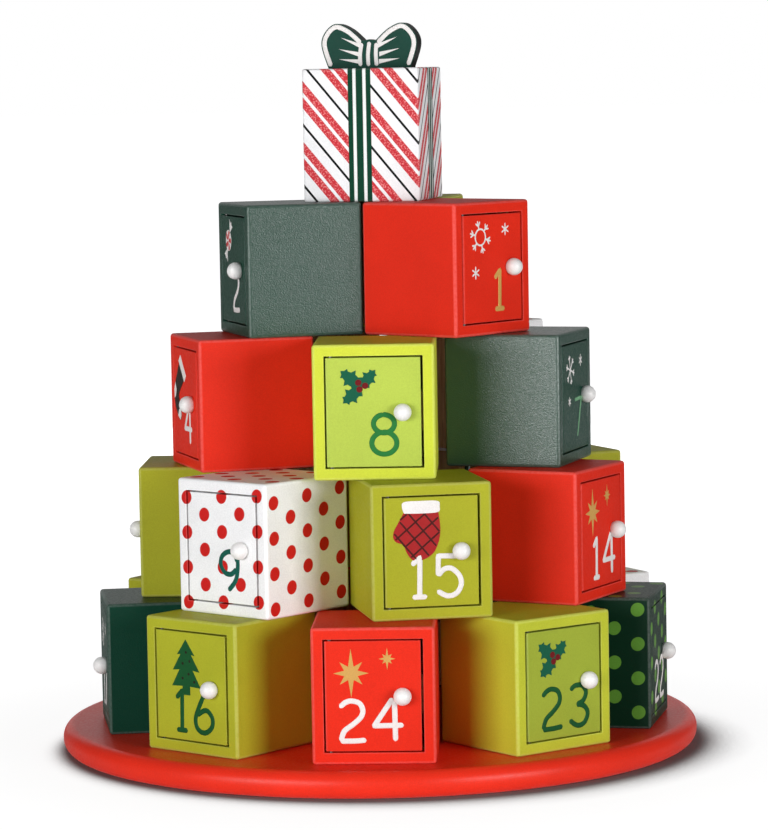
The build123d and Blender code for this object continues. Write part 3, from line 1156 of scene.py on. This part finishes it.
def gift_paper():
    made, tree, _ = new_material("gift_paper")
    wrap = node(tree, "ShaderNodeGroup", {"Map": paint_map(tree)}, node_tree=gift_wrap()).outputs
    # The glitter is real, its glints are painted: pale pink specks in the red stripes
    glint_specks = stretch(tree, noise(tree, object_place(tree), GLITTER_SCALE, 1), 0.50, 0.66, 0, 0.8)
    prints = {
        "Stripe": blend_colours(tree, glint_specks, srgb(204, 50, 60), srgb(238, 152, 152)),
        "Line": srgb(8, 10, 10), "Ribbon": srgb(4, 62, 42), "Pinstripe": srgb(238, 242, 240),
    }
    colour = srgb(242, 242, 244)
    for part, ink in prints.items():
        colour = blend_colours(tree, wrap[part], colour, ink)
    dress(tree, colour, 0.55, 0.06, 0.08)
    return made


paper = gift_paper()
print("gift paper", len(paper.node_tree.nodes), "nodes")

# %% The gift block
GIFT_SHIFT, GIFT_TURN, GIFT_EASE = 1.7 * MM, math.radians(-12), 1.2 * MM
GIFT_SEAT = shift(STACK_X - GIFT_SHIFT, 0, BASE_T + len(TIERS) * BOX_H) @ turn_z(GIFT_TURN)


def gift_block():
    bm = bmesh.new()
    edge = bm.verts.layers.float.new("edge")
    bmesh.ops.create_cube(bm, size=1)
    bm.transform(shift(0, 0, GIFT_H / 2) @ Matrix.Diagonal((GIFT_W, GIFT_W, GIFT_H, 1)))
    ease(bm, list(bm.edges), GIFT_EASE, 4)
    shade(bm, edge, 0.5)
    layer = bm.loops.layers.uv.new("paint_mm")
    half = GIFT_W / 2 / MM
    for face in bm.faces:
        n = face.normal
        for loop in face.loops:
            x, y, z = (c / MM for c in loop.vert.co)
            if abs(n.z) > 0.71:
                loop[layer].uv = (x, z + y + half)
            elif abs(n.x) > abs(n.y):
                loop[layer].uv = (math.copysign(2 * half + y, n.x), z)
            else:
                loop[layer].uv = (x if n.y < 0 else 4 * half - x, z)
    mesh = mesh_of(bm, "gift")
    mesh.transform(GIFT_SEAT)
    return mesh


gift = make_piece("gift", gift_block(), paper)
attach(gift, "calendar")
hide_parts("gift_block")
print("gift", len(gift.data.polygons), "faces")

# %% [markdown]
# ## The bow
# The bow is sawn from a board and painted on both faces. Its outline is one rounded line from the foot
# over the lobe to the knot, mirrored. White paint runs along the rim and down the knot as brush strokes,
# and the folds are long thin wedges.

# %% The bow
BOW_W, BOW_H, BOW_T = 51.5, 24.0, 12.0
KNOT_TOP = 0.63
LOBE = [(0.86, 0.0), (1.0, 0.50), (0.92, 0.80), (0.69, 0.98), (0.40, 0.86), (0.13, 0.60)]
FOLDS = [((15.2, 16.2), (4.6, 11.6)), ((16.4, 10.2), (5.4, 7.2)), ((16.4, 4.9), (5.2, 3.4))]
KNOT = (
    [(-4.0, 13.2), (-5.0, 7.0), (-4.8, 1.0)], [(0.1, 13.8), (-0.7, 7.0), (-0.5, 1.0)],
    [(3.9, 13.2), (3.5, 7.0), (3.9, 1.0)],
)
RIM_IN, RIM_FOOT, RIM_HALF, KNOT_HALF, FOLD_HALF = 1.7, 1.3, 1.25, 1.1, 1.2
lobe = rounded([(x * BOW_W / 2, z * BOW_H) for x, z in LOBE])


def inset(line, amount):
    """The line moved to its left by an amount."""
    moved = []
    for i, (x, z) in enumerate(line):
        (x0, z0), (x1, z1) = line[max(i - 1, 0)], line[min(i + 1, len(line) - 1)]
        run = math.dist((x0, z0), (x1, z1))
        moved.append((x - amount * (z1 - z0) / run, z + amount * (x1 - x0) / run))
    return moved


def bow_face():
    """The white paint on one face of the bow."""
    rim = [(x, max(z, RIM_FOOT)) for x, z in inset(lobe, RIM_IN)]
    white = inks["white"]
    made = [
        brushed([rim, mirrored(rim)], white, RIM_HALF),
        brushed([rounded(line) for line in KNOT], white, KNOT_HALF),
    ]
    for tip, (x, z) in FOLDS:
        wedge = [tip, (x, z - FOLD_HALF), (x, z + FOLD_HALF)]
        made += [flat_shape(wedge, white), flat_shape(mirrored(wedge), white)]
    return made


def bow_body():
    outline = lobe + [(0.0, KNOT_TOP * BOW_H)] + mirrored(lobe[::-1])
    bm = bmesh.new()
    plate = bm.faces.new([bm.verts.new((x * MM, BOW_T / 2 * MM, z * MM)) for x, z in outline])
    draw_out(bm, plate, 1, -BOW_T / 2 * MM)
    for face in bm.faces:
        sawn = abs(face.normal.y) < 0.5
        face.material_index = 1 if sawn else 0
        face.smooth = sawn and abs(face.normal.z) < 0.999
    for rim in bm.edges:
        rim.smooth = rim.calc_face_angle(0) < 0.6
    split_large(bm)
    return mesh_of(bm, "bow")


bow_paint = painted("bow_paint", srgb(16, 66, 54), gloss=0.5, bump=0.06, shine=0.12)
bow_edge = painted("bow_edge", srgb(6, 16, 13), gloss=0.5, bump=0.1, shine=0.12)
bow_mesh, bow_seat = bow_body(), GIFT_SEAT @ shift(0, 0, GIFT_H)
bow_mesh.transform(bow_seat)
bow = make_piece("bow", bow_mesh, bow_paint, bow_edge)
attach(bow, "calendar")
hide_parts("gift_bow")
for name, angle in (("bow_front", 0), ("bow_back", math.pi)):
    mesh = joined(name, bow_face())
    mesh.transform(bow_seat @ turn_z(angle) @ shift(0, -BOW_T / 2 * MM, 0))
    face = make_piece(name, mesh)
    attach(face, "calendar")
print("bow", len(bow.data.polygons), "faces")

# %% [markdown]
# ## Floor and light
# The object stands on a white floor that has no visible end. Two large soft lamps stand low, left and
# right of the camera, and a third one behind lights the back without showing in the paint. The world
# gives an even white for the eye and a weaker light for the object. The floor glows for the eye, less
# where the object shuts out the sky, which paints a soft shadow around the base over the faint shadows
# that the lamps cast.

# %% The floor
BACKDROP_EDGE, BACKDROP_LEVEL = (0.40, 0.50), 0.55
FLOOR_R, SHADOW_REACH, SHADOW_LEAN, SHADOW_POWER = 30, 0.036, (-0.28, 0.26, 0.924), 2.5
SKY_RANGE, GLOW_RADII, GLOW_LEVELS = (0.46, 0.91), (0.2, 0.5), (0.9, 1.05)
FLOOR_LIT, FLOOR_SEEN = (0.86, 0.86, 0.865, 1), (0.2, 0.2, 0.202, 1)


def seen_rays(tree, place):
    """One for rays from the eye, and for mirrored and clear rays that end on the backdrop."""
    path = node(tree, "ShaderNodeLightPath").outputs
    x, y, _ = node(tree, "ShaderNodeSeparateXYZ", {0: place}).outputs
    aside = maths(tree, "DIVIDE", maths(tree, "ABSOLUTE", x), maths(tree, "MAXIMUM", y, 0.001))
    backdrop = stretch(tree, aside, *BACKDROP_EDGE, BACKDROP_LEVEL, 0)
    shiny = maths(tree, "MAXIMUM", path["Is Glossy Ray"], path["Is Transmission Ray"])
    return maths(tree, "MAXIMUM", path["Is Camera Ray"], maths(tree, "MULTIPLY", shiny, backdrop))


def floor_white():
    made, tree, skin = new_material("floor_white")
    tree.nodes.remove(skin)
    lean = node(tree, "ShaderNodeCombineXYZ", dict(enumerate(SHADOW_LEAN))).outputs[0]
    feed = {"Distance": SHADOW_REACH, "Normal": lean}
    near = node(tree, "ShaderNodeAmbientOcclusion", feed, samples=16).outputs["AO"]
    # The glow is dimmed where the object is near: a painted shadow round the base
    open_sky = maths(tree, "POWER", stretch(tree, near, *SKY_RANGE, 0, 1), SHADOW_POWER)
    place = object_place(tree)
    away = node(tree, "ShaderNodeVectorMath", {0: place}, operation="LENGTH").outputs["Value"]
    lift = maths(tree, "MULTIPLY", open_sky, stretch(tree, away, *GLOW_RADII, *GLOW_LEVELS))
    seen = seen_rays(tree, place)
    glow = node(tree, "ShaderNodeEmission", {"Strength": maths(tree, "MULTIPLY", seen, lift)}).outputs[0]
    matt = node(tree, "ShaderNodeBsdfDiffuse", {"Color": blend_colours(tree, seen, FLOOR_LIT, FLOOR_SEEN)})
    both = node(tree, "ShaderNodeAddShader", {0: matt.outputs[0], 1: glow}).outputs[0]
    plug(tree, tree.nodes["Material Output"], {"Surface": both})
    return made


bm = bmesh.new()
bmesh.ops.create_circle(bm, cap_ends=True, segments=64, radius=FLOOR_R)
ground = make_piece("floor", mesh_of(bm, "floor"), floor_white())
print("floor", round(2 * FLOOR_R), "m across")

# %% Lamps and world
LAMP_AIM = Vector((0, 0, 0.2))
WORLD_LIT, WORLD_SEEN = 0.08, 1.0


def soft_lamp(name, spot, size, watts, in_paint=True):
    """A soft lamp aimed at the stack; one that isn't in the paint is never mirrored."""
    lamp = bpy.data.lights.new(name, "AREA")
    lamp.shape = "RECTANGLE"
    lamp.size, lamp.size_y = size
    lamp.energy = watts
    made = bpy.data.objects.new(name, lamp)
    made.visible_glossy = in_paint
    aim = (LAMP_AIM - Vector(spot)).to_track_quat("-Z", "Y")
    made.matrix_world = Matrix.Translation(spot) @ aim.to_matrix().to_4x4()
    bpy.context.collection.objects.link(made)


def sky():
    world = bpy.data.worlds.new("studio_white")
    bpy.context.scene.world = world
    world.use_nodes = True
    tree = world.node_tree
    way = node(tree, "ShaderNodeTexCoord").outputs["Generated"]
    feed = {0: seen_rays(tree, way), 2: WORLD_LIT, 3: WORLD_SEEN}
    strength = node(tree, "ShaderNodeMix", feed, data_type="FLOAT").outputs[0]
    plug(tree, tree.nodes["Background"], {"Color": BRIGHT, "Strength": strength})


soft_lamp("left_lamp", (-1.04, -1.40, 0.33), (1.10, 0.60), 20.6)
soft_lamp("right_lamp", (1.16, -1.30, 0.35), (0.80, 0.62), 18.0)
soft_lamp("back_lamp", (0.15, 1.75, 0.33), (2.00, 0.60), 20.0, in_paint=False)
sky()
bpy.context.scene.view_settings.view_transform = "Standard"
print("lamps", len(bpy.data.lights))
